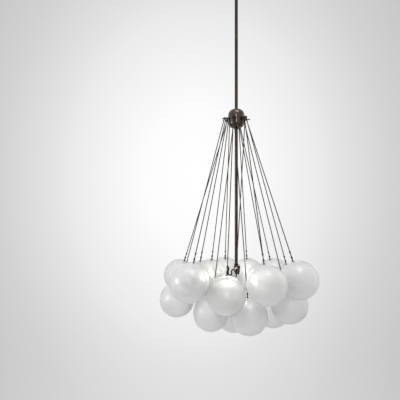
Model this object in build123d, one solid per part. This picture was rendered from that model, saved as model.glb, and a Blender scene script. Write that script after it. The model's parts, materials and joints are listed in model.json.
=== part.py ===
from build123d import *
import math
import os

# Bubble chandelier: a cloud of frosted glass globes on cords round a lamp cluster.
# Millimetres, +Z up, -Y towards the viewer. The origin is on the ceiling, on the stem's axis.

# Globes. Their places are written in pitches, so that they stay clear of each other at any size.
globe_diameter = 146.0
globe_wall = 3.0
globe_gap = 6.0
globe_hole_diameter = 5.0
cluster_drop = 630.0

# One globe a row: bearing in degrees, reach from the axis and depth below the top tier in pitches,
# the peg that carries its cord, counted anticlockwise, its place on that peg, counted outwards,
# and how far it can swing out, in degrees, with the turn of that swing from its own bearing.
globe_places = [
    (223, 1.68, 0.00, 3, 1, 12, 0),
    (293, 1.50, 0.00, 5, 1, 12, 0),
    (332, 1.68, 0.00, 5, 2, 12, 0),
    (188, 1.06, 0.10, 3, 0, 0, 0),
    (128, 1.11, 0.19, 2, 1, 0, 0),
    (68, 1.15, 0.20, 1, 1, 0, 0),
    (96, 1.87, 0.27, 2, 0, 12, 0),
    (52, 2.08, 0.27, 1, 2, 12, 0),
    (139, 2.08, 0.27, 2, 2, 12, 0),
    (23, 1.74, 0.29, 0, 1, 12, 0),
    (249, 0.90, 0.38, 4, 2, 0, 0),
    (353, 1.39, 0.78, 5, 0, 0, 0),
    (163, 1.68, 0.79, 3, 2, 12, 30),
    (309, 0.47, 1.02, 4, 1, 3, 0),
    (168, 0.69, 1.08, 4, 0, 0, 0),
    (38, 1.43, 1.21, 1, 0, 2, 30),
    (90, 0.85, 1.34, 0, 0, 7, 30),
]

# Cords and their end fittings
cord_diameter = 3.6
eyelet_wall = 0.5
eyelet_room = 1.4
eyelet_neck_length = 6.0
crimp_depth = 4.0
cap_diameter = 9.0
cap_height = 2.5
cap_edge_radius = 1.5
neck_wall = 0.4
neck_length = 8.0
bead_diameter = 6.8
bead_length = 9.0
bead_edge_radius = 1.2
ferrule_diameter = 6.4
ferrule_length = 7.0
ferrule_rise = 13.0
stud_length = 12.0
cap_nut_diameter = 15.0
cap_nut_height = 3.0

# Hub and its pegs
hub_diameter = 66.0
hub_height = 78.0
hub_wall = 3.0
hub_dome_radius = 26.0
hub_foot_radius = 22.0
peg_depth = 40.5
seam_below_pegs = 10.0
core_above_pegs = 13.5
core_below_pegs = 15.0
stem_socket_depth = 10.0
peg_count = 6
first_peg_bearing = 12.0
peg_diameter = 4.0
peg_socket_depth = 12.0
peg_tip_diameter = 6.0
row_start = 4.2
row_room = 3.0
tip_room = 5.2
hub_collar_diameter = 19.0
hub_collar_height = 5.0

# Stem and ceiling fittings
stem_diameter = 13.0
stem_bore = 10.0
hub_drop = 525.0
bracket_web_length = 64.0
bracket_foot_length = 24.0
bracket_width = 24.0
bracket_thickness = 2.5
bracket_depth = 14.0
slot_length = 14.0
slot_width = 5.0
nipple_diameter = 10.0
nipple_bore = 6.0
nipple_top = 7.0
nut_across_flats = 14.0
nut_height = 4.0
coupling_diameter = 18.0
coupling_length = 23.0
nipple_engagement = 10.0
canopy_diameter = 125.0
canopy_height = 46.0
canopy_wall = 1.5
canopy_edge_radius = 12.0
canopy_ceiling_gap = 0.5
collar_diameter = 24.0
collar_height = 12.0
collar_chamfer = 1.5
grub_diameter = 3.0
terminal_length = 19.0
terminal_width = 14.0
terminal_height = 10.0
terminal_groove = 1.5
terminal_ways = 3
lead_diameter = 3.0
lead_bend_radius = 4.5
earth_screw_diameter = 4.0
earth_head_diameter = 8.0
earth_head_height = 3.0
earth_screw_length = 9.0
earth_offset = 20.0

# Lamp cluster at the foot of the stem
stem_foot_drop = 603.5
stem_ring_diameter = 17.0
stem_ring_height = 8.0
stem_ring_rise = 9.5
lamp_body_diameter = 18.0
lamp_body_above = 8.0
lamp_body_below = 18.0
lamp_body_wall = 4.0
arm_bearings = [65.0, 185.0, 265.0]
arm_diameter = 5.4
arm_elbow = 19.0
arm_reach = 33.0
arm_bend_radius = 6.5
arm_dip = 22.0
arm_rise = 23.0
arm_above_foot = 11.0
cup_diameter = 9.0
cup_height = 12.0
cup_floor = 3.0
cup_wall = 0.8
insert_height = 9.0
insert_hole_diameter = 1.0
insert_hole_spacing = 3.0
insert_hole_depth = 4.0
lamp_diameter = 8.0
lamp_length = 6.0
lamp_pin_diameter = 0.8
foot_nut_diameter = 12.0
foot_nut_height = 8.0

# Clearances
turned_fit = 0.1
glass_fit = 0.15
seat_gap = 0.3
sliding_fit = 0.4

# Levels and radii that follow from those sizes
hub_radius = hub_diameter / 2
stem_radius = stem_diameter / 2
peg_radius = peg_diameter / 2
cord_radius = cord_diameter / 2
globe_radius = globe_diameter / 2
pitch = globe_diameter + globe_gap
hub_top = -hub_drop
hub_bottom = hub_top - hub_height
peg_level = hub_top - peg_depth
seam_level = peg_level - seam_below_pegs
core_radius = hub_radius - hub_wall - seat_gap
core_top = peg_level + core_above_pegs
core_bottom = peg_level - core_below_pegs
row_pitch = cord_diameter + row_room
last_row = max(place[4] for place in globe_places)
peg_tip_reach = hub_radius + row_start + last_row * row_pitch + tip_room
eyelet_radius = peg_radius + cord_radius + eyelet_room
eyelet_foot = -(eyelet_radius + eyelet_neck_length)
bead_foot = globe_radius + cap_height + neck_length
bead_top = bead_foot + bead_length
cord_foot = bead_top - crimp_depth
web_top = -(bracket_depth - bracket_thickness)
web_bottom = -bracket_depth
slot_spacing = bracket_web_length + bracket_foot_length
terminal_offset = bracket_web_length / 2 - seat_gap - terminal_length / 2
coupling_top = web_bottom - nut_height
coupling_bottom = coupling_top - coupling_length
nipple_bottom = coupling_top - nipple_engagement
canopy_bottom = -(canopy_ceiling_gap + canopy_height)
collar_level = canopy_bottom - collar_height / 2
hub_collar_level = hub_bottom - hub_collar_height / 2
stem_foot = peg_level - stem_foot_drop
lamp_body_top = stem_foot + lamp_body_above
lamp_body_bottom = stem_foot - lamp_body_below
arm_level = lamp_body_bottom + arm_above_foot
arm_foot = arm_level - arm_dip
arm_top = arm_foot + arm_rise
BASE = (Align.CENTER, Align.CENTER, Align.MIN)


def rod(diameter, bottom, top):
    """Upright round bar on the Z axis."""
    return Pos(0, 0, bottom) * Cylinder(diameter / 2, top - bottom, align=BASE)


def tube(outer, inner, bottom, top):
    """Upright tube on the Z axis."""
    return rod(outer, bottom, top) - rod(inner, bottom, top)


def turned(*edges):
    """Solid turned about the Z axis from a closed outline in the XZ plane."""
    return revolve(Plane.XZ * make_face(Curve() + list(edges)), Axis.Z)


def around(count, first, solid):
    """Copies of a solid spaced evenly about the Z axis."""
    return [Rot(0, 0, first + 360 / count * index) * solid for index in range(count)]


def peg_point(peg, row):
    """Place on a peg's axis where the cord in that row hangs."""
    bearing = math.radians(first_peg_bearing + 360 / peg_count * peg)
    reach = hub_radius + row_start + row_pitch * row
    return Vector(reach * math.cos(bearing), reach * math.sin(bearing), peg_level)


def globe_centre(bearing, reach, depth):
    """Centre of a globe from its bearing, and its reach and depth in pitches."""
    angle = math.radians(bearing)
    level = peg_level - cluster_drop - depth * pitch
    return Vector(reach * pitch * math.cos(angle), reach * pitch * math.sin(angle), level)


# Ceiling fittings

def ceiling_bracket():
    """Hat-shaped strip: two slotted feet on the ceiling and a web below them for the nipple."""
    web_half = bracket_web_length / 2
    end = web_half + bracket_foot_length
    upper = [
        (end, 0),
        (web_half, 0),
        (web_half, web_top),
        (-web_half, web_top),
        (-web_half, 0),
        (-end, 0),
    ]
    outer = web_half + bracket_thickness
    lower = [
        (-end, -bracket_thickness),
        (-outer, -bracket_thickness),
        (-outer, web_bottom),
        (outer, web_bottom),
        (outer, -bracket_thickness),
        (end, -bracket_thickness),
    ]
    profile = make_face(Polyline(*upper, *lower, close=True))
    strip = extrude(Plane.XZ * profile, bracket_width / 2, both=True)
    strip -= rod(nipple_diameter + 2 * turned_fit, web_bottom, web_top)
    strip -= Pos(-earth_offset, 0, 0) * rod(earth_screw_diameter + 2 * turned_fit, web_bottom, web_top)
    slot = extrude(SlotOverall(slot_length, slot_width), -bracket_thickness)
    for side in (-1, 1):
        strip -= Pos(side * slot_spacing / 2, 0, 0) * slot
    return strip


def hex_nut(bottom):
    """Hexagon nut on the nipple."""
    blank = extrude(RegularPolygon(nut_across_flats / 2, 6, major_radius=False), nut_height)
    return Pos(0, 0, bottom) * blank - rod(nipple_diameter + 2 * turned_fit, bottom, bottom + nut_height)


def stem_coupling():
    """Sleeve that joins the nipple to the stem."""
    sleeve = rod(coupling_diameter, coupling_bottom, coupling_top)
    sleeve -= rod(nipple_diameter + 2 * turned_fit, nipple_bottom, coupling_top)
    return sleeve - rod(stem_diameter + 2 * turned_fit, coupling_bottom, nipple_bottom)


def canopy():
    """Shallow spun cup with a rounded lower edge and a hole for the stem."""
    rim = -canopy_ceiling_gap
    radius = canopy_diameter / 2
    hole = stem_radius + sliding_fit
    edge = canopy_edge_radius
    floor = canopy_bottom + canopy_wall
    return turned(
        Line((radius, rim), (radius, canopy_bottom + edge)),
        CenterArc((radius - edge, canopy_bottom + edge), edge, 0, -90),
        Line((radius - edge, canopy_bottom), (hole, canopy_bottom)),
        Line((hole, canopy_bottom), (hole, floor)),
        Line((hole, floor), (radius - edge, floor)),
        CenterArc((radius - edge, canopy_bottom + edge), edge - canopy_wall, -90, 90),
        Line((radius - canopy_wall, canopy_bottom + edge), (radius - canopy_wall, rim)),
        Line((radius - canopy_wall, rim), (radius, rim)),
    )


def stem_collar(diameter, height, level):
    """Ring locked on the stem by a grub screw in its side."""
    ring = tube(diameter, stem_diameter + 2 * sliding_fit, level - height / 2, level + height / 2)
    lower_rim = ring.edges().filter_by(GeomType.CIRCLE).group_by(Axis.Z)[0].sort_by(SortBy.RADIUS)[-1]
    ring = chamfer(lower_rim, collar_chamfer)
    return ring - grub_screw(diameter, level, turned_fit)


def grub_screw(diameter, level, clearance=0.0):
    """Grub screw, or with a clearance the hole for it, from a collar's side in to the stem."""
    length = diameter / 2 - stem_radius
    screw = Cylinder(grub_diameter / 2 + clearance, length, align=BASE)
    return Pos(0, -stem_radius, level) * Rot(90, 0, 0) * screw


def terminal_block():
    """Connector block on the bracket's web, with a groove between its ways."""
    block = Box(terminal_length, terminal_width, terminal_height, align=BASE)
    groove = Pos(0, 0, terminal_height - terminal_groove)
    groove *= Box(terminal_groove, terminal_width, terminal_groove, align=BASE)
    for way in range(1, terminal_ways):
        block -= Pos(terminal_length * (way / terminal_ways - 0.5), 0, 0) * groove
    return Pos(terminal_offset, 0, web_top) * block


def supply_leads():
    """Flex from the terminal block over into the nipple and down the stem to the lamps."""
    entry_x = terminal_offset - terminal_length / 2
    entry_level = web_top + terminal_height - terminal_groove - lead_diameter / 2
    route = FilletPolyline(
        (entry_x, 0, entry_level),
        (0, 0, entry_level),
        (0, 0, lamp_body_bottom + lamp_body_wall),
        radius=lead_bend_radius,
    )
    section = Plane((entry_x, 0, entry_level), z_dir=(-1, 0, 0)) * Circle(lead_diameter / 2)
    return sweep(section, path=route)


def earth_screw():
    """Pan-head screw in the bracket's web."""
    shank = rod(earth_screw_diameter, web_top - earth_screw_length, web_top)
    head = rod(earth_head_diameter, web_top, web_top + earth_head_height)
    head = fillet(head.edges().filter_by(GeomType.CIRCLE).sort_by(Axis.Z)[-1], earth_head_height / 2)
    return Pos(-earth_offset, 0, 0) * (shank + head)


# Hub

def peg_holes(inner, outer, clearance):
    """Radial holes for all the pegs between two radii."""
    hole = Rot(0, 90, 0) * Cylinder(peg_radius + clearance, outer - inner, align=BASE)
    return around(peg_count, first_peg_bearing, Pos(inner, 0, peg_level) * hole)


def hub_shell():
    """Upper shell: a domed top on a straight wall that the pegs come through."""
    flat = hub_radius - hub_dome_radius
    spring = hub_top - hub_dome_radius
    inner = hub_radius - hub_wall
    hole = stem_radius + seat_gap
    shell = turned(
        Line((hole, hub_top), (flat, hub_top)),
        CenterArc((flat, spring), hub_dome_radius, 90, -90),
        Line((hub_radius, spring), (hub_radius, seam_level)),
        Line((hub_radius, seam_level), (inner, seam_level)),
        Line((inner, seam_level), (inner, spring)),
        CenterArc((flat, spring), hub_dome_radius - hub_wall, 0, 90),
        Line((flat, hub_top - hub_wall), (hole, hub_top - hub_wall)),
        Line((hole, hub_top - hub_wall), (hole, hub_top)),
    )
    for hole_cut in peg_holes(inner - hub_wall, hub_radius + hub_wall, turned_fit):
        shell -= hole_cut
    return shell


def hub_cup():
    """Lower cup: a straight wall that rounds in to a flat foot."""
    spring = hub_bottom + hub_foot_radius
    flat = hub_radius - hub_foot_radius
    inner = hub_radius - hub_wall
    hole = stem_radius + seat_gap
    return turned(
        Line((hub_radius, seam_level), (hub_radius, spring)),
        CenterArc((flat, spring), hub_foot_radius, 0, -90),
        Line((flat, hub_bottom), (hole, hub_bottom)),
        Line((hole, hub_bottom), (hole, hub_bottom + hub_wall)),
        Line((hole, hub_bottom + hub_wall), (flat, hub_bottom + hub_wall)),
        CenterArc((flat, spring), hub_foot_radius - hub_wall, -90, 90),
        Line((inner, spring), (inner, seam_level)),
        Line((inner, seam_level), (hub_radius, seam_level)),
    )


def hub_core():
    """Turned block inside the hub that holds both stems and all the pegs."""
    core = tube(2 * core_radius, stem_bore, core_bottom, core_top)
    core -= rod(stem_diameter + 2 * turned_fit, core_top - stem_socket_depth, core_top)
    core -= rod(stem_diameter + 2 * turned_fit, core_bottom, core_bottom + stem_socket_depth)
    for hole in peg_holes(core_radius - peg_socket_depth, core_radius, turned_fit):
        core -= hole
    return core


def hub_pegs():
    """Pegs with ball ends that keep the cords on."""
    inner = core_radius - peg_socket_depth
    shank = Pos(inner, 0, 0) * Rot(0, 90, 0) * Cylinder(peg_radius, peg_tip_reach - inner, align=BASE)
    peg = shank + Pos(peg_tip_reach, 0, 0) * Sphere(peg_tip_diameter / 2)
    return around(peg_count, first_peg_bearing, Pos(0, 0, peg_level) * peg)


# Lamp cluster

def stem_ring():
    """Rounded ring on the stem above the lamps."""
    bottom = stem_foot + stem_ring_rise
    ring = rod(stem_ring_diameter, bottom, bottom + stem_ring_height)
    ring = fillet(ring.edges().filter_by(GeomType.CIRCLE), (stem_ring_diameter - stem_diameter) / 2)
    return ring - rod(stem_diameter + 2 * turned_fit, bottom, bottom + stem_ring_height)


def lamp_body():
    """Turned body on the foot of the stem, hollow for the leads, with a hole for each arm."""
    body = rod(lamp_body_diameter, lamp_body_bottom, lamp_body_top)
    rims = body.edges().filter_by(GeomType.CIRCLE)
    body = fillet(rims, lamp_body_wall / 2)
    body -= rod(stem_diameter + 2 * turned_fit, stem_foot, lamp_body_top)
    body -= rod(lamp_body_diameter - 2 * lamp_body_wall, lamp_body_bottom + lamp_body_wall, stem_foot)
    hole = Rot(0, 90, 0) * Cylinder(arm_diameter / 2 + turned_fit, lamp_body_diameter / 2, align=BASE)
    for arm_hole in at_arms(Pos(0, 0, arm_level) * hole):
        body -= arm_hole
    return body


def at_arms(solid):
    """Copies of a solid, one at each arm's bearing."""
    return [Rot(0, 0, bearing) * solid for bearing in arm_bearings]


def lamp_arms():
    """Swan-neck arms that leave the body level, dip, and curve out and up to the lamps."""
    root = lamp_body_diameter / 2 - lamp_body_wall
    route = FilletPolyline(
        (root, 0, arm_level),
        (arm_elbow, 0, arm_level),
        (arm_elbow, 0, arm_foot),
        (arm_reach, 0, arm_foot),
        (arm_reach, 0, arm_top),
        radius=arm_bend_radius,
    )
    section = Plane((root, 0, arm_level), z_dir=(1, 0, 0)) * Circle(arm_diameter / 2)
    return at_arms(sweep(section, path=route))


def on_arms(solid):
    """Copies of a solid, one on the top of each arm."""
    return at_arms(Pos(arm_reach, 0, arm_top) * solid)


def lamp_cup():
    """Small turned cup on an arm's end that holds the lamp's socket."""
    cup = rod(cup_diameter, -cup_floor, cup_height - cup_floor)
    cup -= rod(arm_diameter + 2 * turned_fit, -cup_floor, 0)
    return cup - rod(cup_diameter - 2 * cup_wall, 0, cup_height - cup_floor)


def pin_pair(diameter, bottom, top):
    """Two upright pins at the lamp's pin spacing."""
    pin = rod(diameter, bottom, top)
    return [Pos(side * insert_hole_spacing / 2, 0, 0) * pin for side in (-1, 1)]


def lamp_insert():
    """Ceramic socket with two pin holes."""
    insert = rod(cup_diameter - 2 * cup_wall - 2 * turned_fit, 0, insert_height)
    for hole in pin_pair(insert_hole_diameter, insert_height - insert_hole_depth, insert_height):
        insert -= hole
    return insert


def lamp():
    """Frosted dome lamp that stands on its socket."""
    radius = lamp_diameter / 2
    crown = insert_height + lamp_length - radius
    return turned(
        Line((0, insert_height), (radius, insert_height)),
        Line((radius, insert_height), (radius, crown)),
        CenterArc((0, crown), radius, 0, 90),
        Line((0, crown + radius), (0, insert_height)),
    )


def foot_nut():
    """Domed nut that closes the lamp body from below."""
    radius = foot_nut_diameter / 2
    return turned(
        Line((0, lamp_body_bottom), (radius, lamp_body_bottom)),
        Line((radius, lamp_body_bottom), (radius, lamp_body_bottom - foot_nut_height + radius)),
        CenterArc((0, lamp_body_bottom - foot_nut_height + radius), radius, 0, -90),
        Line((0, lamp_body_bottom - foot_nut_height), (0, lamp_body_bottom)),
    )


# Globes and their hangers, built upright about the globe's centre and then leant along the cord

def globe():
    """Blown glass ball with a small hole at its top."""
    ball = Sphere(globe_radius) - Sphere(globe_radius - globe_wall)
    return ball - rod(globe_hole_diameter, 0, globe_diameter)


def globe_cap():
    """Button on the glass, with a stud through it and a neck and bead crimped on the cord."""
    top = globe_radius + cap_height
    cap = rod(cap_diameter, globe_radius - cap_height, top)
    cap = fillet(cap.edges().filter_by(GeomType.CIRCLE).sort_by(Axis.Z)[-1], cap_edge_radius)
    cap -= Sphere(globe_radius + glass_fit)
    cap += rod(globe_hole_diameter - 2 * glass_fit, top - stud_length, top)
    cap += rod(cord_diameter + 2 * neck_wall, top, bead_foot)
    bead = rod(bead_diameter, bead_foot, bead_top)
    cap += fillet(bead.edges().filter_by(GeomType.CIRCLE), bead_edge_radius)
    return cap - rod(cord_diameter, cord_foot, bead_top)


def cord_ferrule():
    """Loose sleeve that stops the cord's whipping, a little above the bead."""
    bottom = bead_top + ferrule_rise
    sleeve = rod(ferrule_diameter, bottom, bottom + ferrule_length)
    sleeve = fillet(sleeve.edges().filter_by(GeomType.CIRCLE), bead_edge_radius)
    return sleeve - rod(cord_diameter + 2 * turned_fit, bottom, bottom + ferrule_length)


def cap_nut():
    """Flat nut on the stud, inside the glass."""
    inside = math.sqrt((globe_radius - globe_wall) ** 2 - (cap_nut_diameter / 2) ** 2) - seat_gap
    bore = globe_hole_diameter - 2 * glass_fit + 2 * turned_fit
    return tube(cap_nut_diameter, bore, inside - cap_nut_height, inside)


def eyelet():
    """Ring that hangs on a peg, centred on the origin, with a neck crimped on the cord below it."""
    ring = Rot(0, 90, 0) * Torus(eyelet_radius, cord_radius)
    ring += rod(cord_diameter + 2 * eyelet_wall, eyelet_foot, -eyelet_radius)
    return ring - rod(cord_diameter, eyelet_foot, eyelet_foot + crimp_depth)


def hanging_globes():
    """Each globe and its hanger, leant along the line from its peg to its place."""
    nodes = {}
    plain_globe = globe()
    plain_eyelet = eyelet()
    fittings = [globe_cap(), cap_nut(), cord_ferrule()]
    for number, (bearing, reach, depth, peg, row, swing, turn) in enumerate(globe_places, start=1):
        hook = peg_point(peg, row)
        centre = globe_centre(bearing, reach, depth)
        line = (hook - centre).normalized()
        peg_line = Vector(hook.X, hook.Y, 0).normalized()
        lean = math.asin(abs(line.dot(peg_line))) + math.radians(swing)
        drop = eyelet_radius - (peg_radius + cord_radius + seat_gap) / math.cos(lean)
        level = (hook - centre).length - drop
        place = Plane(centre, x_dir=peg_line - line * peg_line.dot(line), z_dir=line).location
        cord = rod(cord_diameter, cord_foot, level + eyelet_foot + crimp_depth)
        hanger = [Pos(0, 0, level) * plain_eyelet, cord] + fittings
        nodes[f"globe_{number:02d}"] = [place * plain_globe]
        nodes[f"hanger_{number:02d}"] = [place * solid for solid in hanger]
    return nodes


def build():
    """All sub-parts as lists of solids under their node names."""
    pins = pin_pair(lamp_pin_diameter, insert_height - insert_hole_depth, insert_height)
    nodes = {
        "ceiling_bracket": [ceiling_bracket()],
        "nipple": [tube(nipple_diameter, nipple_bore, nipple_bottom, -nipple_top)],
        "nipple_nuts": [hex_nut(web_top), hex_nut(web_bottom - nut_height)],
        "stem_coupling": [stem_coupling()],
        "canopy": [canopy()],
        "canopy_collar": [stem_collar(collar_diameter, collar_height, collar_level)],
        "upper_stem": [tube(stem_diameter, stem_bore, core_top - stem_socket_depth, nipple_bottom)],
        "hub_shell": [hub_shell()],
        "hub_core": [hub_core()],
        "hub_cup": [hub_cup()],
        "hub_pegs": hub_pegs(),
        "hub_collar": [stem_collar(hub_collar_diameter, hub_collar_height, hub_collar_level)],
        "canopy_grub_screw": [grub_screw(collar_diameter, collar_level)],
        "hub_grub_screw": [grub_screw(hub_collar_diameter, hub_collar_level)],
        "lower_stem": [tube(stem_diameter, stem_bore, stem_foot, core_bottom + stem_socket_depth)],
        "stem_ring": [stem_ring()],
        "lamp_body": [lamp_body()],
        "lamp_arms": lamp_arms(),
        "lamp_cups": on_arms(lamp_cup()),
        "lamp_inserts": on_arms(lamp_insert()),
        "lamps": on_arms(lamp()),
        "lamp_pins": [pin for solid in pins for pin in on_arms(solid)],
        "foot_nut": [foot_nut()],
        "supply_leads": [supply_leads()],
        "terminal_block": [terminal_block()],
        "earth_screw": [earth_screw()],
    }
    nodes.update(hanging_globes())
    return nodes


os.makedirs("parts", exist_ok=True)
for name, solids in build().items():
    shape = solids[0] if len(solids) == 1 else Compound(children=solids)
    export_step(shape, f"parts/{name}.step")
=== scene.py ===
"""Bubble chandelier: frosted glass globes on cords round a lamp cluster, dressed for looks.

Metres, in the CAD frame: the origin is on the ceiling on the stem's axis, +Z up, -Y towards the viewer.
"""

import json
import math

import bmesh
import bpy
import numpy as np
from bpy.props import FloatProperty, FloatVectorProperty, IntProperty, PointerProperty
from mathutils import Matrix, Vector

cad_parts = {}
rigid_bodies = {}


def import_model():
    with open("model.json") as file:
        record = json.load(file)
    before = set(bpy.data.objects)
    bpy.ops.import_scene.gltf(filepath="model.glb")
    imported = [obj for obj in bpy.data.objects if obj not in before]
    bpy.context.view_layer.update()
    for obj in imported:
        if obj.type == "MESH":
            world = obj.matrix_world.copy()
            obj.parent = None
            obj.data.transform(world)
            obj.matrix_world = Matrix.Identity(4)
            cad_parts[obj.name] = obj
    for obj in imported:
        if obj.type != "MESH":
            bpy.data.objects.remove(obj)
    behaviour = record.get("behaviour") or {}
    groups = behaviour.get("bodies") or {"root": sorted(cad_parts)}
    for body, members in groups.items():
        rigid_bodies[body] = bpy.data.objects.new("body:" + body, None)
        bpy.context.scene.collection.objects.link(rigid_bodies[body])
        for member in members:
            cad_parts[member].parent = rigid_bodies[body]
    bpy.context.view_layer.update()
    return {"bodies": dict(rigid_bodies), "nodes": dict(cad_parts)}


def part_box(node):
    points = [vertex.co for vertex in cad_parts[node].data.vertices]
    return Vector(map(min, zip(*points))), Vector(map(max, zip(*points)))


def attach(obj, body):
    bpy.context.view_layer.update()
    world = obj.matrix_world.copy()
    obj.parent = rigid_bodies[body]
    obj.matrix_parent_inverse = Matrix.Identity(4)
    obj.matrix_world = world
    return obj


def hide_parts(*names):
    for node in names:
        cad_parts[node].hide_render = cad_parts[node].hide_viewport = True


bl_info = {
    "name": "Bubble chandelier",
    "version": (1, 0, 0),
    "blender": (4, 5, 0),
    "location": "View3D > Sidebar > Chandelier",
    "description": "Dresses a globe chandelier's CAD frame with glass, cords and metal",
    "category": "Object",
}

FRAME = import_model()
MM = 0.001

# One globe a row, as in the part: bearing, reach and depth in pitches, peg, row on the peg, swing
GLOBE_PLACES = np.array([
    (223, 1.68, 0.00, 3, 1, 12),
    (293, 1.50, 0.00, 5, 1, 12),
    (332, 1.68, 0.00, 5, 2, 12),
    (188, 1.06, 0.10, 3, 0, 0),
    (128, 1.11, 0.19, 2, 1, 0),
    (68, 1.15, 0.20, 1, 1, 0),
    (96, 1.87, 0.27, 2, 0, 12),
    (52, 2.08, 0.27, 1, 2, 12),
    (139, 2.08, 0.27, 2, 2, 12),
    (23, 1.74, 0.29, 0, 1, 12),
    (249, 0.90, 0.38, 4, 2, 0),
    (353, 1.39, 0.78, 5, 0, 0),
    (163, 1.68, 0.79, 3, 2, 12),
    (309, 0.47, 1.02, 4, 1, 3),
    (168, 0.69, 1.08, 4, 0, 0),
    (38, 1.43, 1.21, 1, 0, 2),
    (90, 0.85, 1.34, 0, 0, 7),
])
PITCH = 152 * MM
PEG_LEVEL = -565.5 * MM
CLUSTER_DROP = 630 * MM
FIRST_PEG_BEARING = 12
PEG_STEP = 60
ROW_START = 37.2 * MM
ROW_PITCH = 6.6 * MM
PEG_RADIUS = 2 * MM
SEAT_GAP = 0.3 * MM

# A globe's shell: points on each of its two arcs and on its lip, and steps round it
GLOBE_STEPS = 72
LIP_STEPS = 9
GLOBE_SEGMENTS = 96

# Points on the rounding of a small edge
EDGE_STEPS = 6

# A hanger from its eyelet down to the nut inside the glass
EYELET_RADIUS = 5.2 * MM
EYELET_FOOT = -11.2 * MM
EYELET_SEGMENTS = (40, 14)
COLLAR_WALL = 0.5 * MM
COLLAR_EDGE = 0.2 * MM
CRIMP_DEPTH = 4 * MM
FERRULE_RADIUS = 3.2 * MM
FERRULE_GAP = 0.1 * MM
FERRULE_RISE = 13 * MM
FERRULE_LENGTH = 7 * MM
BEAD_RADIUS = 3.4 * MM
BEAD_LENGTH = 9 * MM
RIM_EDGE = 1.2 * MM
NECK_WALL = 0.4 * MM
NECK_LENGTH = 8 * MM
CAP_RADIUS = 4.5 * MM
CAP_HEIGHT = 2.5 * MM
CAP_EDGE = 1.5 * MM
GLASS_GAP = 0.15 * MM
STUD_LENGTH = 12 * MM
FITTING_SEGMENTS = 24
WASHER_RADIUS = 7.5 * MM
WASHER_HEIGHT = 3 * MM
WASHER_EDGE = 0.4 * MM
WASHER_BORE_INSET = 0.05 * MM
WASHER_SEGMENTS = 32

# Small screws at the ceiling and the hub
NIPPLE_RADIUS = 5 * MM
NIPPLE_BORE = 3 * MM
THREAD_PITCH = 1 * MM
THREAD_DEPTH = 0.55 * MM
GRUB_RADIUS = 1.5 * MM
GRUB_FLATS = 1.5 * MM
GRUB_SOCKET = 1.2 * MM
GRUB_BODIES = {"canopy_grub_screw": "canopy", "hub_grub_screw": "frame"}
TERMINAL_WAYS = 3
TERMINAL_OFFSET = 3.6 * MM
TERMINAL_RADIUS = 1.9 * MM
TERMINAL_HEIGHT = 0.9 * MM
TERMINAL_SLOT = 0.6 * MM

# The lamps: where each stands round the stem, where its light is aimed, and the light's own place
LAMP_BEARINGS = np.array([65, 185, 265])
LAMP_AIMS = np.array([110, 245, 310])
LAMP_REACH = 33 * MM
LAMP_LEVEL = -1160 * MM
LAMP_FACE = 8 * MM
LAMP_LIFT = 3
LAMP_GLASS = [(0.25, 0.23, 0.19), (0.32, 0.29, 0.25)]

# The dark metal: how much of it is rubbed, and how far its patina is darkened; on the slender metal the
# darkening is partly painted shade, as on the lower stem among the cords below the hub
BROAD_METAL = ["canopy", "hub_shell", "hub_cup"]
BROAD_WEAR = 1.0
BROAD_SHADE = 0.9
SLENDER_METAL = [
    "canopy_collar", "upper_stem", "hub_core", "hub_pegs", "hub_collar", "lower_stem", "stem_ring",
    "lamp_body", "lamp_arms", "lamp_cups", "foot_nut",
]
SLENDER_WEAR = 0.12
# Painted shade: the slender metal's darker patina also stands in for the shade that falls on the stems among
# the cords.
SLENDER_PATINA_AND_SHADE = 0.55

# One plain finish a row: colour, share of metal, roughness, scale of its grain, variation of its tone
FINISHES = {
    "dark_fittings": ((0.032, 0.027, 0.025), 0.85, 0.42, 300, 0.2),
    "nylon": ((0.82, 0.83, 0.82), 0, 0.5, 400, 0.03),
    "glazed_ceramic": ((0.9, 0.89, 0.86), 0, 0.3, 240, 0.03),
    "zinc_plate": ((0.62, 0.63, 0.64), 1, 0.38, 160, 0.12),
    "black_steel": ((0.05, 0.05, 0.05), 1, 0.4, 300, 0.1),
    "earth_brass": ((0.72, 0.55, 0.25), 1, 0.3, 300, 0.08),
    "moulded_white": ((0.85, 0.85, 0.83), 0, 0.45, 300, 0.03),
    "lead_sleeve": ((0.1, 0.095, 0.09), 0, 0.6, 500, 0.1),
}

# Where noise mostly lies, how far gloss and tone vary with it, and the braid's strands round a cord
NOISE_RANGE = (0.3, 0.7)
FINISH_SPREAD = 0.08
FROST_SPREAD = 0.05
FROST_TONE = 0.03
BRAID_STRANDS = 4

# The backdrop's painted pool of light: its tones from far out to its brightest place, and where that place
# is; then the sky's tones going up
PAINTED_LIGHT_TONES = [
    (0.2, (0.95, 0.95, 0.955)),
    (0.6, (0.56, 0.56, 0.565)),
    (0.69, (0.645, 0.645, 0.65)),
    (0.775, (0.77, 0.77, 0.775)),
    (0.805, (0.83, 0.83, 0.835)),
    (0.92, (0.975, 0.975, 0.975)),
    (1.0, (1, 1, 1)),
]
PAINTED_LIGHT_SHIFT = (0.0215, 0, 0.0425)
PAINTED_LIGHT_SCALE = (0.1035, 0, 0.08)
PAPER_BASE = (0.88, 0.88, 0.88)
SKY_TONES = [(0.25, (0.6, 0.6, 0.6)), (0.75, (1, 1, 1))]

# One studio light a row: name, place, target, width and height
STUDIO_LIGHTS = [
    ("overhead", (0.28, -0.75, 1.3), (0, 0, -1.25), (0.95, 0.95)),
    ("side", (-2.3, -0.75, -0.75), (0, 0, -1.25), (0.6, 0.6)),
    ("front", (-0.24, -2.7, -0.03), (0, 0, -0.6), (0.18, 0.5)),
]

# The camera: its place and reach, and its focal length and frame in pixels
CAMERA_PLACE = (-0.1471, -1.65, -0.894)
CAMERA_REACH = 50
FOCAL_PIXELS = 407
FRAME_PIXELS = 400
SENSOR_WIDTH = 36


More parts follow.
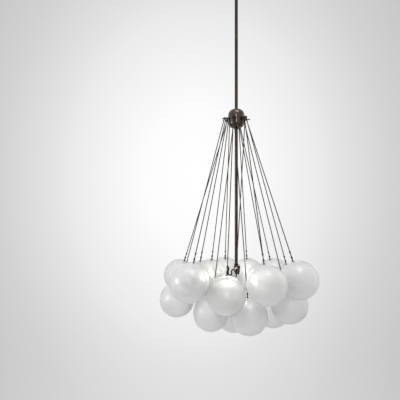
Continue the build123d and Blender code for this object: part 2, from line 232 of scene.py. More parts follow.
class GlassSettings(bpy.types.PropertyGroup):
    """Sizes and finish of the globes."""

    radius: FloatProperty(name="Radius", description="Outside of the glass", default=73 * MM, unit="LENGTH")
    wall: FloatProperty(name="Wall", description="Thickness of the glass", default=3 * MM, unit="LENGTH")
    hole: FloatProperty(
        name="Hole", description="Radius of the hole at the top", default=2.5 * MM, unit="LENGTH"
    )
    tint: FloatVectorProperty(
        name="Tint", description="Colour of the frosted glass", default=(0.985, 0.99, 0.985), subtype="COLOR"
    )
    frost: FloatProperty(name="Frost", description="Roughness of the etched face", default=0.45)
    clear: FloatProperty(name="Clear", description="Share of light that goes through", default=0.9)
    haze: FloatProperty(name="Haze", description="Share of light that the etched face scatters", default=0.2)
    etched_index: FloatProperty(
        name="Etched index", description="Refractive index at the etched face", default=1.25
    )
    polished_index: FloatProperty(
        name="Polished index", description="Refractive index at the polished inside", default=1.4
    )


class CordSettings(bpy.types.PropertyGroup):
    """Size and colour of the cords."""

    radius: FloatProperty(
        name="Radius", description="Half the cord's thickness", default=1.8 * MM, unit="LENGTH"
    )
    colour: FloatVectorProperty(
        name="Colour", description="Colour of the braid", default=(0.026, 0.015, 0.01), subtype="COLOR"
    )
    lay: FloatProperty(
        name="Lay", description="Length of one turn of the braid", default=6 * MM, unit="LENGTH"
    )


class BronzeSettings(bpy.types.PropertyGroup):
    """Colours and gloss of the dark metal."""

    dark: FloatVectorProperty(
        name="Dark", description="Main colour of the patina", default=(0.04, 0.028, 0.021), subtype="COLOR"
    )
    rubbed: FloatVectorProperty(
        name="Rubbed", description="Colour where the patina is rubbed", default=(0.23, 0.07, 0.036),
        subtype="COLOR",
    )
    gloss: FloatProperty(name="Gloss", description="Roughness of the metal", default=0.26)


class LampSettings(bpy.types.PropertyGroup):
    """Light of the lamps."""

    colour: FloatVectorProperty(
        name="Colour", description="Colour of the light", default=(1.0, 0.98, 0.8), subtype="COLOR"
    )
    glow: FloatProperty(name="Glow", description="Brightness of a lamp's face", default=0.12)
    power: FloatProperty(name="Power", description="Light of one lamp in watts", default=0.21)
    size: FloatProperty(
        name="Size", description="Width of a lamp's soft light", default=40 * MM, unit="LENGTH"
    )


class StageSettings(bpy.types.PropertyGroup):
    """Floor, backdrop and studio light."""

    floor: FloatProperty(name="Floor", description="Level of the floor", default=-3.6, unit="LENGTH")
    back: FloatProperty(name="Back", description="Distance of the backdrop", default=4.5, unit="LENGTH")
    half_width: FloatProperty(
        name="Half width", description="Half the stage's width", default=14.0, unit="LENGTH"
    )
    sweep: FloatProperty(
        name="Sweep", description="Radius of the backdrop's foot", default=1.0, unit="LENGTH"
    )
    segments: IntProperty(name="Segments", description="Steps of the backdrop's sweep", default=24)
    overhead: FloatProperty(name="Overhead", description="Power of the overhead light", default=26.0)
    side: FloatProperty(name="Side", description="Power of the side light", default=19.0)
    front: FloatProperty(name="Front", description="Power of the strip light in front", default=8.0)
    sky: FloatProperty(name="Sky", description="Strength of the soft light all round", default=1.0)


# Surfaces

def grid_faces(rows, columns, close_rows=False):
    """Quads of a grid whose columns close on themselves, and its rows too where asked."""
    i = np.arange(rows if close_rows else rows - 1)[:, None]
    j = np.arange(columns)[None, :]
    i_next = (i + 1) % rows
    j_next = (j + 1) % columns
    corners = [i * columns + j, i * columns + j_next, i_next * columns + j_next, i_next * columns + j]
    return np.stack([np.broadcast_to(c, (i.size, j.size)) for c in corners], -1).reshape(-1, 4)


def turned_grid(radius, height):
    """Radii and heights by row and column, closed round the Z axis: x = r cos a, y = r sin a, z."""
    rows, columns = radius.shape
    angle = np.linspace(0, 2 * np.pi, columns, endpoint=False)
    z = np.broadcast_to(height, radius.shape)
    points = np.stack([radius * np.cos(angle), radius * np.sin(angle), z], -1)
    return points.reshape(-1, 3), grid_faces(rows, columns)


def lathe(profile, segments):
    """Profile of radius and height carried round the Z axis."""
    profile = np.asarray(profile, float)
    return turned_grid(np.repeat(profile[:, :1], segments, axis=1), profile[:, 1:])


def ring(radius, thickness, around, across):
    """Torus about the X axis: a circle of the thickness carried round one of the radius."""
    u = np.linspace(0, 2 * np.pi, around, endpoint=False)[:, None]
    v = np.linspace(0, 2 * np.pi, across, endpoint=False)[None, :]
    reach = radius + thickness * np.cos(v)
    x = np.broadcast_to(thickness * np.sin(v), (around, across))
    points = np.stack([x, reach * np.cos(u), reach * np.sin(u)], -1).reshape(-1, 3)
    return points, grid_faces(around, across, close_rows=True)


def threaded_tube(radius, bore, bottom, top, pitch, depth, steps=8, columns=40):
    """Tube with a screw thread: r = radius - depth * |2 frac(z / pitch - a / 2 pi) - 1|, and a plain bore."""
    rows = steps * round((top - bottom) / pitch)
    height = np.linspace(bottom, top, rows)[:, None]
    turn = np.arange(columns)[None, :] / columns
    thread = radius - depth * np.abs(2 * ((height / pitch - turn) % 1) - 1)
    plain = np.full((1, columns), bore)
    radii = np.concatenate([plain, thread, plain, plain])
    heights = np.concatenate([[[bottom]], height, [[top]], [[bottom]]])
    return turned_grid(radii, heights)


def socket_screw(radius, length, across_flats, depth, columns=36):
    """Headless screw along Z with a hexagon socket: r = half the flats / cos(angle from the nearest flat)."""
    angle = np.linspace(0, 2 * np.pi, columns, endpoint=False)
    sixth = np.pi / 3
    hexagon = across_flats / 2 / np.cos((angle + sixth / 2) % sixth - sixth / 2)
    bar = np.full(columns, radius)
    middle = np.zeros(columns)
    radii = np.stack([middle, bar, bar, hexagon, hexagon, middle])
    heights = np.array([0, 0, length, length, length - depth, length - depth])[:, None]
    return turned_grid(radii, heights)


def slotted_head(radius, height, slot, fall=0.3, floor=0.45, rows=12, columns=40):
    """Low dome with a slot across it: z = height (1 - fall (r / radius)^2).

    Where |y| is within the slot, z is cut down to the floor's share of it.
    """
    spread = np.concatenate([np.linspace(0, 1, rows), [1.0]])[:, None]
    angle = np.linspace(0, 2 * np.pi, columns, endpoint=False)[None, :]
    radii = np.broadcast_to(radius * spread, (len(spread), columns))
    across = np.abs(radii * np.sin(angle))
    dome = height * (1 - fall * spread ** 2)
    level = np.where(across < slot / 2, floor * dome, dome)
    level[-1] = 0
    return turned_grid(radii[::-1], level[::-1])


def arc(centre, radius, start, end, steps):
    """Points on a circle in the profile's plane from one angle to another, in degrees."""
    angle = np.radians(np.linspace(start, end, steps))
    return np.stack([centre[0] + radius * np.cos(angle), centre[1] + radius * np.sin(angle)], -1)


def rounded_side(radius, bottom, top, edge):
    """Side of a turned profile from its lower rim to its upper one, both rounded."""
    return np.concatenate([
        arc((radius - edge, bottom + edge), edge, -90, 0, EDGE_STEPS),
        arc((radius - edge, top - edge), edge, 0, 90, EDGE_STEPS),
    ])


def sleeve(radius, bore, bottom, top, edge):
    """Closed profile of a tube with rounded outer rims."""
    outer = rounded_side(radius, bottom, top, edge)
    return np.concatenate([[(bore, bottom)], outer, [(bore, top), (bore, bottom)]])


def skin(name, surfaces, sharp=40):
    """Mesh of several surfaces, each points and quads, with its doubles merged and its normals outward."""
    starts = np.cumsum([0] + [len(points) for points, _ in surfaces])
    points = np.concatenate([points for points, _ in surfaces])
    quads = np.concatenate([quads + start for (_, quads), start in zip(surfaces, starts)])
    mesh = bpy.data.meshes.new(name)
    mesh.from_pydata(points.tolist(), [], quads.tolist())
    work = bmesh.new()
    work.from_mesh(mesh)
    bmesh.ops.remove_doubles(work, verts=work.verts, dist=1e-7)
    bmesh.ops.dissolve_degenerate(work, edges=work.edges, dist=1e-8)
    bmesh.ops.recalc_face_normals(work, faces=work.faces)
    work.to_mesh(mesh)
    work.free()
    mesh.polygons.foreach_set("use_smooth", np.ones(len(mesh.polygons), bool))
    mesh.set_sharp_from_angle(angle=math.radians(sharp))
    return mesh


def add_piece(name, mesh, material, body, slot, *nodes):
    """Object for a finished mesh that rides on a body and stands for CAD nodes."""
    piece = bpy.data.objects.new(name, mesh)
    bpy.context.scene.collection.objects.link(piece)
    mesh.materials.clear()
    mesh.materials.append(material)
    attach(piece, body)
    if nodes:
        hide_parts(*nodes)
    return piece


# Where the globes hang

def bearing_line(degrees):
    """Level unit line at a bearing: (cos b, sin b, 0)."""
    angle = np.radians(degrees)
    return np.stack([np.cos(angle), np.sin(angle), np.zeros_like(angle)], -1)


def hang_lines(cord_radius):
    """Each globe's place, a matrix that stands it upright along its cord, and its eyelet's height in it.

    The cord runs from the peg's point at its row straight to the globe's centre. The eyelet hangs low enough
    to clear the peg at full swing: its radius less (peg + cord + gap) / cos(lean).
    """
    bearing, reach, depth, peg, row, swing = GLOBE_PLACES.T
    peg_line = bearing_line(FIRST_PEG_BEARING + PEG_STEP * peg)
    hook = peg_line * (ROW_START + ROW_PITCH * row)[:, None]
    hook[:, 2] = PEG_LEVEL
    centre = bearing_line(bearing) * (reach * PITCH)[:, None]
    centre[:, 2] = PEG_LEVEL - CLUSTER_DROP - depth * PITCH
    length = np.linalg.norm(hook - centre, axis=1)
    up = (hook - centre) / length[:, None]
    along = np.sum(up * peg_line, axis=1)
    lean = np.arcsin(np.abs(along)) + np.radians(swing)
    level = length - EYELET_RADIUS + (PEG_RADIUS + cord_radius + SEAT_GAP) / np.cos(lean)
    side = peg_line - up * along[:, None]
    side /= np.linalg.norm(side, axis=1)[:, None]
    places = np.tile(np.eye(4), (len(centre), 1, 1))
    places[:, :3, 0] = side
    places[:, :3, 1] = np.cross(up, side)
    places[:, :3, 2] = up
    places[:, :3, 3] = centre
    return places, level


def globe_body(number):
    """Name of the body that a globe rides on: its own where it swings, else the frame."""
    own = f"swing_globe_{number:02d}"
    return own if own in FRAME["bodies"] else "frame"


# Hangers, about the globe's centre with the cord along Z

def bead_top(glass):
    """Height of the bead's top above the globe's centre."""
    return glass.radius + CAP_HEIGHT + NECK_LENGTH + BEAD_LENGTH


def cord_mesh(name, radius, foot, head, around=16):
    """Tube along Z from foot to head: x = r cos a, y = r sin a, with its turn and length as its map."""
    points, quads = lathe([(radius, foot), (radius, head)], around)
    mesh = bpy.data.meshes.new(name)
    ends = [list(range(around))[::-1], list(range(around, 2 * around))]
    mesh.from_pydata(points.tolist(), [], quads.tolist() + ends)
    turn = np.arange(around)[:, None] + np.array([0, 1, 1, 0])
    height = np.broadcast_to(np.array([foot, foot, head, head]), turn.shape)
    sides = np.stack([turn / around, height], -1).reshape(-1, 2)
    flat = np.zeros((2 * around, 2))
    uv_map = mesh.uv_layers.new(name="turn_and_length")
    uv_map.uv.foreach_set("vector", np.concatenate([sides, flat]).ravel())
    smooth = np.ones(len(mesh.polygons), bool)
    smooth[-2:] = False
    mesh.polygons.foreach_set("use_smooth", smooth)
    return mesh


def hanger_surfaces(glass, cord, level):
    """Turned profiles of the cap with its stud and bead, ferrule and collar, and the eyelet's torus."""
    neck = cord.radius + NECK_WALL
    cap_top = glass.radius + CAP_HEIGHT
    bead_foot = cap_top + NECK_LENGTH
    top = bead_top(glass)
    stud = glass.hole - GLASS_GAP
    stud_foot = cap_top - STUD_LENGTH
    brim_foot = math.sqrt((glass.radius + GLASS_GAP) ** 2 - CAP_RADIUS ** 2)
    cap = np.concatenate([
        [(0, stud_foot), (stud, stud_foot), (stud, glass.radius), (CAP_RADIUS, brim_foot)],
        arc((CAP_RADIUS - CAP_EDGE, cap_top - CAP_EDGE), CAP_EDGE, 0, 90, EDGE_STEPS),
        [(neck, cap_top), (neck, bead_foot)],
        rounded_side(BEAD_RADIUS, bead_foot, top, RIM_EDGE),
        [(cord.radius, top), (cord.radius, top - CRIMP_DEPTH), (0, top - CRIMP_DEPTH)],
    ])
    foot = top + FERRULE_RISE
    ferrule = sleeve(FERRULE_RADIUS, cord.radius + FERRULE_GAP, foot, foot + FERRULE_LENGTH, RIM_EDGE)
    collar_foot = level + EYELET_FOOT
    collar = sleeve(cord.radius + COLLAR_WALL, cord.radius, collar_foot, level - EYELET_RADIUS, COLLAR_EDGE)
    eye, eye_faces = ring(EYELET_RADIUS, cord.radius, *EYELET_SEGMENTS)
    eye = eye + np.array([0, 0, level])
    turned = [lathe(profile, FITTING_SEGMENTS) for profile in (cap, ferrule, collar)]
    return turned + [(eye, eye_faces)]


def washer_surface(glass):
    """Nylon nut on the stud, inside the glass: a turned ring with rounded rims."""
    inside = math.sqrt((glass.radius - glass.wall) ** 2 - WASHER_RADIUS ** 2) - SEAT_GAP
    bore = glass.hole - WASHER_BORE_INSET
    return lathe(sleeve(WASHER_RADIUS, bore, inside - WASHER_HEIGHT, inside, WASHER_EDGE), WASHER_SEGMENTS)


# Materials

def new_material(name):
    """Material with one shader, its nodes and links."""
    material = bpy.data.materials.new(name)
    material.use_nodes = True
    nodes = material.node_tree.nodes
    return material, nodes, material.node_tree.links, nodes["Principled BSDF"]


def add_noise(nodes, links, scale, detail, stretch=(1, 1, 1)):
    """Noise on Object coordinates, stretched along the axes."""
    place = nodes.new("ShaderNodeTexCoord")
    mapping = nodes.new("ShaderNodeMapping")
    mapping.inputs["Scale"].default_value = stretch
    noise = nodes.new("ShaderNodeTexNoise")
    noise.inputs["Scale"].default_value = scale
    noise.inputs["Detail"].default_value = detail
    links.new(place.outputs["Object"], mapping.inputs["Vector"])
    links.new(mapping.outputs["Vector"], noise.inputs["Vector"])
    return noise.outputs["Fac"]


def add_ramp(nodes, links, factor, stops):
    """Colour ramp with its stops as position and colour."""
    ramp = nodes.new("ShaderNodeValToRGB")
    elements = ramp.color_ramp.elements
    while len(elements) < len(stops):
        elements.new(0.5)
    for element, (position, colour) in zip(elements, stops):
        element.position = position
        element.color = (*colour, 1)
    links.new(factor, ramp.inputs["Fac"])
    return ramp.outputs["Color"]


def add_mottle(nodes, links, noise, dark, light):
    """Colour that goes from dark to light over the range in which noise mostly lies."""
    return add_ramp(nodes, links, noise, list(zip(NOISE_RANGE, (dark, light))))


def tones(colour, vary):
    """A colour's darker and lighter tone, by a share of it."""
    colour = np.array(colour)
    return colour * (1 - vary), np.minimum(colour * (1 + vary), 1)


def add_range(nodes, links, factor, low, high):
    """A factor of 0 to 1 carried to a range."""
    span = nodes.new("ShaderNodeMapRange")
    span.inputs["To Min"].default_value = low
    span.inputs["To Max"].default_value = high
    links.new(factor, span.inputs["Value"])
    return span.outputs["Result"]


def add_larger(nodes, links, first, second):
    """The larger of two factors."""
    larger = nodes.new("ShaderNodeMath")
    larger.operation = "MAXIMUM"
    links.new(first, larger.inputs[0])
    links.new(second, larger.inputs[1])
    return larger.outputs["Value"]


def add_bump(nodes, links, shader, height, strength, distance):
    """Bump from a height factor."""
    bump = nodes.new("ShaderNodeBump")
    bump.inputs["Strength"].default_value = strength
    bump.inputs["Distance"].default_value = distance
    links.new(height, bump.inputs["Height"])
    links.new(bump.outputs["Normal"], shader.inputs["Normal"])


def frosted_glass(glass):
    """Etched outside of a globe: fine grain, slow clouds of thicker frost, scattered light, a soft sheen."""
    material, nodes, links, shader = new_material("frosted_glass")
    clouds = add_noise(nodes, links, scale=22, detail=3)
    colour = add_mottle(nodes, links, clouds, *tones(glass.tint, FROST_TONE))
    links.new(colour, shader.inputs["Base Color"])
    frost = add_range(nodes, links, clouds, glass.frost - FROST_SPREAD, glass.frost + FROST_SPREAD)
    links.new(frost, shader.inputs["Roughness"])
    grain = add_noise(nodes, links, scale=2600, detail=2)
    add_bump(nodes, links, shader, grain, strength=0.12, distance=0.2 * MM)
    shader.inputs["Transmission Weight"].default_value = glass.clear
    shader.inputs["IOR"].default_value = glass.etched_index
    shader.inputs["Coat Weight"].default_value = 1
    shader.inputs["Coat Roughness"].default_value = 0.3
    scatter = nodes.new("ShaderNodeBsdfTranslucent")
    links.new(colour, scatter.inputs["Color"])
    mix = nodes.new("ShaderNodeMixShader")
    mix.inputs["Fac"].default_value = glass.haze
    links.new(shader.outputs["BSDF"], mix.inputs[1])
    links.new(scatter.outputs["BSDF"], mix.inputs[2])
    links.new(mix.outputs["Shader"], nodes["Material Output"].inputs["Surface"])
    return material


def smooth_glass(glass):
    """Polished inside of a globe, nearly clear."""
    material, nodes, links, shader = new_material("smooth_glass")
    clouds = add_noise(nodes, links, scale=30, detail=2)
    links.new(add_mottle(nodes, links, clouds, glass.tint, (1, 1, 1)), shader.inputs["Base Color"])
    shader.inputs["Transmission Weight"].default_value = 1
    shader.inputs["Roughness"].default_value = 0.05
    shader.inputs["IOR"].default_value = glass.polished_index
    return material


def dark_bronze(name, bronze, wear, patina_and_shade):
    """Oil-rubbed metal: patina darkened by a factor, which on the slender metal is partly painted shade;
    patches rubbed warm by the share of wear, fine turning lines.
    """
    material, nodes, links, shader = new_material(name)
    # The darkening is the patina's own tone, and on the slender metal also painted shade.
    dark = patina_and_shade * np.array(bronze.dark)
    rubbed = dark + wear * (np.array(bronze.rubbed) - dark)
    patches = add_noise(nodes, links, scale=38, detail=5)
    lines = add_noise(nodes, links, scale=900, detail=2, stretch=(0.06, 0.06, 1.0))
    patina = add_ramp(nodes, links, patches, [(0.35, dark), (0.54, dark * 1.4), (0.7, rubbed)])
    links.new(patina, shader.inputs["Base Color"])
    gloss = add_range(nodes, links, lines, low=bronze.gloss - 0.08, high=bronze.gloss + 0.1)
    links.new(gloss, shader.inputs["Roughness"])
    add_bump(nodes, links, shader, lines, strength=0.03, distance=0.1 * MM)
    shader.inputs["Metallic"].default_value = 0.85
    shader.inputs["Coat Weight"].default_value = 0.5 * patina_and_shade
    shader.inputs["Coat Roughness"].default_value = 0.24
    return material


def braided_cord(cord):
    """Braid of two sets of strands that cross, on the cord's own map of turn and length, with painted shade
    in the grooves between strands and painted light on their crowns.
    """
    material, nodes, links, shader = new_material("braided_cord")
    place = nodes.new("ShaderNodeTexCoord")
    strands = []
    for hand in (-1, 1):
        mapping = nodes.new("ShaderNodeMapping")
        mapping.inputs["Scale"].default_value = (BRAID_STRANDS * hand, 2 / cord.lay, 1)
        wave = nodes.new("ShaderNodeTexWave")
        wave.bands_direction = "DIAGONAL"
        wave.inputs["Scale"].default_value = 1.0
        links.new(place.outputs["UV"], mapping.inputs["Vector"])
        links.new(mapping.outputs["Vector"], wave.inputs["Vector"])
        strands.append(wave.outputs["Fac"])
    height = add_larger(nodes, links, *strands)
    colour = np.array(cord.colour)
    # Painted shade and light: darker where the braid is low, in the grooves, and lighter on the strands'
    # crowns.
    thread = add_ramp(nodes, links, height, [(0.2, colour * 0.6), (0.9, colour * 1.25)])
    links.new(thread, shader.inputs["Base Color"])
    add_bump(nodes, links, shader, height, strength=0.6, distance=0.3 * MM)
    shader.inputs["Roughness"].default_value = 0.75
    shader.inputs["Specular IOR Level"].default_value = 0.25
    return material


def lit_lamp(lamp):
    """Lamp glass with a faint glow; the light that falls on the globes comes from light_lamps."""
    material, nodes, links, shader = new_material("lit_lamp")
    grain = add_noise(nodes, links, scale=300, detail=2)
    links.new(add_mottle(nodes, links, grain, *LAMP_GLASS), shader.inputs["Base Color"])
    shader.inputs["Roughness"].default_value = 0.35
    shader.inputs["Emission Color"].default_value = (*lamp.colour, 1)
    shader.inputs["Emission Strength"].default_value = lamp.glow
    return material


def plain_finish(name):
    """Plain finish with a little variation of tone and gloss."""
    colour, metallic, roughness, scale, vary = FINISHES[name]
    material, nodes, links, shader = new_material(name)
    grain = add_noise(nodes, links, scale, detail=4)
    links.new(add_mottle(nodes, links, grain, *tones(colour, vary)), shader.inputs["Base Color"])
    gloss = add_range(nodes, links, grain, roughness - FINISH_SPREAD, roughness + FINISH_SPREAD)
    links.new(gloss, shader.inputs["Roughness"])
    add_bump(nodes, links, shader, grain, strength=0.05, distance=0.2 * MM)
    shader.inputs["Metallic"].default_value = metallic
    return material


def dress(material, *names):
    """Gives CAD nodes a material."""
    for name in names:
        mesh = FRAME["nodes"][name].data
        mesh.materials.clear()
        mesh.materials.append(material)


# Stage

def seen_rays(nodes, links):
    """1 for the rays that see a background: the camera's, and those off gloss and through glass."""
    path = nodes.new("ShaderNodeLightPath")
    seen = path.outputs["Is Camera Ray"]
    for kind in ("Is Glossy Ray", "Is Transmission Ray"):
        seen = add_larger(nodes, links, seen, path.outputs[kind])
    return seen


def backdrop_paper():
    """Paper with a painted pool of light: white behind the object, greyer round that and pale again far out.
    """
    material, nodes, links, shader = new_material("backdrop_paper")
    place = nodes.new("ShaderNodeTexCoord")
    mapping = nodes.new("ShaderNodeMapping")
    mapping.inputs["Location"].default_value = PAINTED_LIGHT_SHIFT
    mapping.inputs["Scale"].default_value = PAINTED_LIGHT_SCALE
    gradient = nodes.new("ShaderNodeTexGradient")
    gradient.gradient_type = "SPHERICAL"
    links.new(place.outputs["Object"], mapping.inputs["Vector"])
    links.new(mapping.outputs["Vector"], gradient.inputs["Vector"])
    # Painted light: this gradient paints a pool of light on the paper, brightest behind the object.
    colour = add_ramp(nodes, links, gradient.outputs["Fac"], PAINTED_LIGHT_TONES)
    glow = nodes.new("ShaderNodeEmission")
    links.new(colour, glow.inputs["Color"])
    shader.inputs["Base Color"].default_value = (*PAPER_BASE, 1)
    shader.inputs["Roughness"].default_value = 0.9
    mix = nodes.new("ShaderNodeMixShader")
    links.new(seen_rays(nodes, links), mix.inputs["Fac"])
    links.new(shader.outputs["BSDF"], mix.inputs[1])
    links.new(glow.outputs["Emission"], mix.inputs[2])
    links.new(mix.outputs["Shader"], nodes["Material Output"].inputs["Surface"])
    return material


def set_world(strength):
    """Soft light all round, brighter from above, and the paper's far tone where the background shows."""
    world = bpy.data.worlds.new("studio")
    bpy.context.scene.world = world
    world.use_nodes = True
    nodes = world.node_tree.nodes
    links = world.node_tree.links
    place = nodes.new("ShaderNodeTexCoord")
    split = nodes.new("ShaderNodeSeparateXYZ")
    links.new(place.outputs["Generated"], split.inputs["Vector"])
    span = nodes.new("ShaderNodeMapRange")
    span.inputs["From Min"].default_value = -1
    links.new(split.outputs["Z"], span.inputs["Value"])
    colour = add_ramp(nodes, links, span.outputs["Result"], SKY_TONES)
    links.new(colour, nodes["Background"].inputs["Color"])
    nodes["Background"].inputs["Strength"].default_value = strength
    far = nodes.new("ShaderNodeBackground")
    _, far_tone = PAINTED_LIGHT_TONES[0]
    far.inputs["Color"].default_value = (*far_tone, 1)
    mix = nodes.new("ShaderNodeMixShader")
    links.new(seen_rays(nodes, links), mix.inputs["Fac"])
    links.new(nodes["Background"].outputs["Background"], mix.inputs[1])
    links.new(far.outputs["Background"], mix.inputs[2])
    links.new(mix.outputs["Shader"], nodes["World Output"].inputs["Surface"])


def add_area(name, location, target, size, power, colour=(1, 1, 1)):
    """Soft rectangular light aimed at a point."""
    light = bpy.data.lights.new(name, "AREA")
    light.shape = "RECTANGLE"
    light.size, light.size_y = size
    light.energy = power
    light.color = colour
    lamp = bpy.data.objects.new(name, light)
    bpy.context.scene.collection.objects.link(lamp)
    lamp.location = location
    aim = Matrix.Translation(target).translation - lamp.location
    lamp.rotation_euler = aim.to_track_quat("-Z", "Y").to_euler()


def light_lamps(lamp):
    """Soft light in front of each lamp, aimed nearly level at the globes beside it."""
    faces = bearing_line(LAMP_BEARINGS) * (LAMP_REACH + LAMP_FACE) + np.array([0, 0, LAMP_LEVEL])
    aims = bearing_line(LAMP_AIMS) + np.array([0, 0, math.tan(math.radians(LAMP_LIFT))])
    for number, (face, aim) in enumerate(zip(faces, aims), start=1):
        add_area(f"lamp_light_{number}", face, face + aim, (lamp.size, lamp.size), lamp.power, lamp.colour)


def add_camera():
    """Level camera in front of the cloud and to its left."""
    camera = bpy.data.cameras.new("camera")
    camera.sensor_width = SENSOR_WIDTH
    camera.sensor_fit = "HORIZONTAL"
    camera.lens = SENSOR_WIDTH * FOCAL_PIXELS / FRAME_PIXELS
    camera.clip_end = CAMERA_REACH
    view = bpy.data.objects.new("camera", camera)
    view.location = CAMERA_PLACE
    view.rotation_euler = (math.pi / 2, 0, 0)
    bpy.context.scene.collection.objects.link(view)
    bpy.context.scene.camera = view


# Operators

class CHANDELIER_OT_globes(bpy.types.Operator):
    """Blow the glass globes"""

    bl_idname = "chandelier.globes"
    bl_label = "Globes"

    def execute(self, context):
        """One turned shell, stood along each cord: outer arc, inner arc and a rounded lip at the hole."""
        glass = context.scene.chandelier_glass
        inner = glass.radius - glass.wall
        lip = glass.wall / 2
        mid_wall = glass.radius - lip
        start = math.degrees(math.asin((glass.hole + lip) / mid_wall))
        middle = mid_wall * np.array([math.sin(math.radians(start)), math.cos(math.radians(start))])
        profile = np.concatenate([
            arc((0, 0), glass.radius, 90 - start, -90, GLOBE_STEPS),
            arc((0, 0), inner, -90, 90 - start, GLOBE_STEPS),
            arc(middle, lip, 270 - start, 90 - start, LIP_STEPS),
        ])
        shell = skin("globe", [lathe(profile, GLOBE_SEGMENTS)], sharp=60)
        etched = frosted_glass(glass)
        polished = smooth_glass(glass)
        inside = np.array([face.center.dot(face.normal) < 0 for face in shell.polygons], np.int32)
        places, _ = hang_lines(context.scene.chandelier_cord.radius)
        for number, place in enumerate(places, start=1):
            mesh = shell.copy()
            mesh.transform(Matrix(place))
            name = f"globe_{number:02d}"
            piece = add_piece(f"glass_{name}", mesh, etched, globe_body(number), "frosted_glass", name)
            piece.data.materials.append(polished)
            piece.data.polygons.foreach_set("material_index", inside)
        bpy.data.meshes.remove(shell)
        return {"FINISHED"}


class CHANDELIER_OT_hangers(bpy.types.Operator):
    """Make each globe's cord, eyelet, bead, cap and nut"""

    bl_idname = "chandelier.hangers"
    bl_label = "Cords and hangers"

    def execute(self, context):
        """Cord: a circle carried along the line. Fittings: turned profiles and a torus for the eyelet."""
        glass = context.scene.chandelier_glass
        cord = context.scene.chandelier_cord
        places, levels = hang_lines(cord.radius)
        braid = braided_cord(cord)
        metal = plain_finish("dark_fittings")
        nylon = plain_finish("nylon")
        foot = bead_top(glass) - CRIMP_DEPTH
        for number, (place, level) in enumerate(zip(places, levels), start=1):
            body = globe_body(number)
            node = f"hanger_{number:02d}"
            head = level + EYELET_FOOT + CRIMP_DEPTH
            line = cord_mesh(f"cord_{number:02d}", cord.radius, foot, head)
            line.transform(Matrix(place))
            piece = add_piece(f"cord_{number:02d}", line, braid, body, "dark_bronze", node)
            fittings = skin(f"fittings_{number:02d}", hanger_surfaces(glass, cord, level))
            fittings.transform(Matrix(place))
            metalwork = add_piece(f"fittings_{number:02d}", fittings, metal, body, "dark_bronze", node)
            washer = skin(f"washer_{number:02d}", [washer_surface(glass)])
            washer.transform(Matrix(place))
            inner = add_piece(f"washer_{number:02d}", washer, nylon, body, "white_plastic", node)
        return {"FINISHED"}


class CHANDELIER_OT_metalwork(bpy.types.Operator):
    """Finish the hub, pegs, stems, canopy and lamp arms"""

    bl_idname = "chandelier.metalwork"
    bl_label = "Metalwork"

    def execute(self, context):
        """The solids keep their shape and get the dark metal."""
        bronze = context.scene.chandelier_bronze
        dress(dark_bronze("rubbed_bronze", bronze, BROAD_WEAR, BROAD_SHADE), *BROAD_METAL)
        # The slender metal's darker copy is partly painted shade.
        dress(dark_bronze("dark_bronze", bronze, SLENDER_WEAR, SLENDER_PATINA_AND_SHADE), *SLENDER_METAL)
        return {"FINISHED"}


class CHANDELIER_OT_lamps(bpy.types.Operator):
    """Light the lamps and finish their sockets"""

    bl_idname = "chandelier.lamps"
    bl_label = "Lamps"

    def execute(self, context):
        """The solids keep their shape and get glowing glass and ceramic."""
        dress(lit_lamp(context.scene.chandelier_lamp), "lamps")
        dress(plain_finish("glazed_ceramic"), "lamp_inserts")
        return {"FINISHED"}


class CHANDELIER_OT_ceiling_fittings(bpy.types.Operator):
    """Finish the bracket, nipple, terminals, leads and small screws"""

    bl_idname = "chandelier.ceiling_fittings"
    bl_label = "Ceiling fittings"

    def execute(self, context):
        """The nipple gets its thread, the grub screws their sockets and the terminals their screws.

        The other solids keep their shape and get zinc, brass, plastic and rubber.
        """
        zinc = plain_finish("zinc_plate")
        dress(zinc, "ceiling_bracket", "nipple_nuts", "stem_coupling", "lamp_pins")
        bottom, top = (corner[2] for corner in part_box("nipple"))
        thread = threaded_tube(NIPPLE_RADIUS, NIPPLE_BORE, bottom, top, THREAD_PITCH, THREAD_DEPTH)
        nipple = skin("threaded_nipple", [thread], sharp=80)
        add_piece("threaded_nipple", nipple, zinc, "frame", "zinc_steel", "nipple")
        black = plain_finish("black_steel")
        for node, body in GRUB_BODIES.items():
            low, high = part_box(node)
            screw = skin(node, [socket_screw(GRUB_RADIUS, high[1] - low[1], GRUB_FLATS, GRUB_SOCKET)])
            place = Matrix.Translation((0, high[1], (low[2] + high[2]) / 2))
            screw.transform(place @ Matrix.Rotation(math.pi / 2, 4, "X"))
            add_piece(f"socket_{node}", screw, black, body, "zinc_steel", node)
        brass = plain_finish("earth_brass")
        dress(brass, "earth_screw")
        low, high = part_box("terminal_block")
        ways = low[0] + (high[0] - low[0]) * (np.arange(TERMINAL_WAYS) + 0.5) / TERMINAL_WAYS
        heads, faces = slotted_head(TERMINAL_RADIUS, TERMINAL_HEIGHT, TERMINAL_SLOT)
        sides = (-TERMINAL_OFFSET, TERMINAL_OFFSET)
        rows = [heads + np.array([x, y, high[2]]) for x in ways for y in sides]
        screws = skin("terminal_screws", [(row, faces) for row in rows])
        add_piece("terminal_screws", screws, brass, "frame", "brass_bright")
        dress(plain_finish("moulded_white"), "terminal_block")
        dress(plain_finish("lead_sleeve"), "supply_leads")
        return {"FINISHED"}


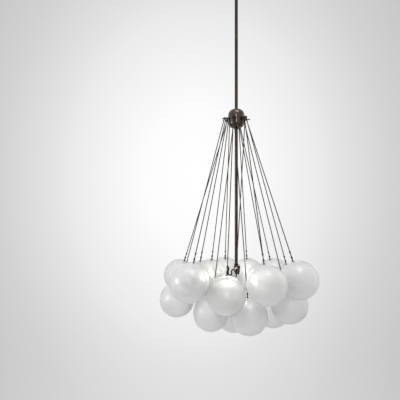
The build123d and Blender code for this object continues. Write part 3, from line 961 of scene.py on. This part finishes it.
class CHANDELIER_OT_stage(bpy.types.Operator):
    """Set the floor, the light and the camera"""

    bl_idname = "chandelier.stage"
    bl_label = "Stage"

    def execute(self, context):
        """Floor and backdrop are one sheet: level, then a quarter circle, then upright."""
        stage = context.scene.chandelier_stage
        path = np.concatenate([
            [(-stage.half_width, stage.floor)],
            arc((stage.back - stage.sweep, stage.floor + stage.sweep), stage.sweep, -90, 0, stage.segments),
            [(stage.back, stage.half_width)],
        ])
        x = np.array([-stage.half_width, stage.half_width])
        points = np.stack([np.tile(x, len(path)), np.repeat(path[:, 0], 2), np.repeat(path[:, 1], 2)], -1)
        row = 2 * np.arange(len(path) - 1)[:, None]
        quads = row + np.array([0, 1, 3, 2])
        mesh = bpy.data.meshes.new("backdrop")
        mesh.from_pydata(points.tolist(), [], quads.tolist())
        mesh.polygons.foreach_set("use_smooth", np.ones(len(mesh.polygons), bool))
        backdrop = bpy.data.objects.new("backdrop", mesh)
        context.scene.collection.objects.link(backdrop)
        mesh.materials.append(backdrop_paper())
        set_world(stage.sky)
        for name, place, target, size in STUDIO_LIGHTS:
            add_area(name, place, target, size, getattr(stage, name))
        light_lamps(context.scene.chandelier_lamp)
        add_camera()
        context.scene.view_settings.view_transform = "Standard"
        return {"FINISHED"}


STEPS = ("stage", "metalwork", "lamps", "ceiling_fittings", "globes", "hangers")


class CHANDELIER_PT_panel(bpy.types.Panel):
    """Lists the pieces of the chandelier"""

    bl_idname = "CHANDELIER_PT_panel"
    bl_label = "Bubble chandelier"
    bl_space_type = "VIEW_3D"
    bl_region_type = "UI"
    bl_category = "Chandelier"

    def draw(self, context):
        """One button for each step."""
        for step in STEPS:
            self.layout.operator(f"chandelier.{step}")


SETTINGS = {
    "chandelier_glass": GlassSettings,
    "chandelier_cord": CordSettings,
    "chandelier_bronze": BronzeSettings,
    "chandelier_lamp": LampSettings,
    "chandelier_stage": StageSettings,
}
CLASSES = (
    *SETTINGS.values(),
    CHANDELIER_OT_globes,
    CHANDELIER_OT_hangers,
    CHANDELIER_OT_metalwork,
    CHANDELIER_OT_lamps,
    CHANDELIER_OT_ceiling_fittings,
    CHANDELIER_OT_stage,
    CHANDELIER_PT_panel,
)


def register():
    """Registers the classes and hangs the settings on the scene."""
    for cls in CLASSES:
        bpy.utils.register_class(cls)
    for name, group in SETTINGS.items():
        setattr(bpy.types.Scene, name, PointerProperty(type=group))


def unregister():
    """Undoes register."""
    for name in SETTINGS:
        delattr(bpy.types.Scene, name)
    for cls in reversed(CLASSES):
        bpy.utils.unregister_class(cls)


def main():
    """Builds everything in order."""
    register()
    for step in STEPS:
        getattr(bpy.ops.chandelier, step)()


if __name__ == "__main__":
    main()
